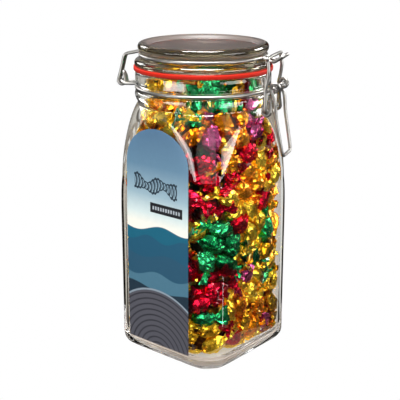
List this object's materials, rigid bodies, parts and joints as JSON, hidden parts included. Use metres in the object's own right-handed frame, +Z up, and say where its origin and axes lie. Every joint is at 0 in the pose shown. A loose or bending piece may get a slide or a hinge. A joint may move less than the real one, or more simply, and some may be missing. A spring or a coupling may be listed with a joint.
{
  "type": "clip-top glass jar of foil-wrapped sweets",
  "caption": "Square clear glass jar with a hinged glass lid, red rubber seal and wire latch, full of twist-wrapped foil sweets, with an arched printed label",
  "frame": {"origin": "centre of the jar's footprint, on the plane it stands on", "axes": "+Z up along the jar's axis, -Y out of the labelled face, and the latch 20 degrees round from +X towards +Y with the hinge opposite it"},
  "size_m": [0.1269, 0.0994, 0.2281],
  "materials": {
    "clear_glass": "clear pressed soda-lime glass, fire-polished, with a faint grey edge",
    "lid_clear_glass": "clear pressed soda-lime glass, thick and darker at its rim",
    "label_print": "satin coated label print, dusk blue over slate grey",
    "red_rubber": "smooth moulded rubber, slightly glossy",
    "bright_wire": "bright drawn steel wire, plated",
    "metallised_foil": "crinkled metallised wrapping foil, mostly gold, with orange, red, green and pink ones"
  },
  "bodies": {
    "jar": {"jar_glass": "clear_glass", "label": "label_print", "sweets": "metallised_foil", "neck_ring": "bright_wire"},
    "lid": {"lid_glass": "lid_clear_glass", "gasket": "red_rubber", "lid_ring": "bright_wire"},
    "lever": {"lever": "bright_wire"},
    "link": {"link": "bright_wire"}
  },
  "joints": [
    {"name": "lid_hinge", "type": "hinge", "parent": "jar", "child": "lid", "pos_m": [-0.05929, -0.02158, 0.1971], "axis": [0.342, -0.9397, 0], "range_deg": [0, 100]},
    {"name": "lever_pivot", "type": "hinge", "parent": "jar", "child": "lever", "pos_m": [0.05291, 0.01926, 0.2004], "axis": [0.342, -0.9397, 0], "range_deg": [0, 100]},
    {"name": "link_pivot", "type": "hinge", "parent": "lever", "child": "link", "pos_m": [0.04783, 0.01741, 0.1839], "axis": [0.342, -0.9397, 0], "range_deg": [-60, 0]}
  ],
  "couplings": [
    {"joint": "link_pivot", "follows": "lever_pivot", "ratio": -0.58}
  ]
}
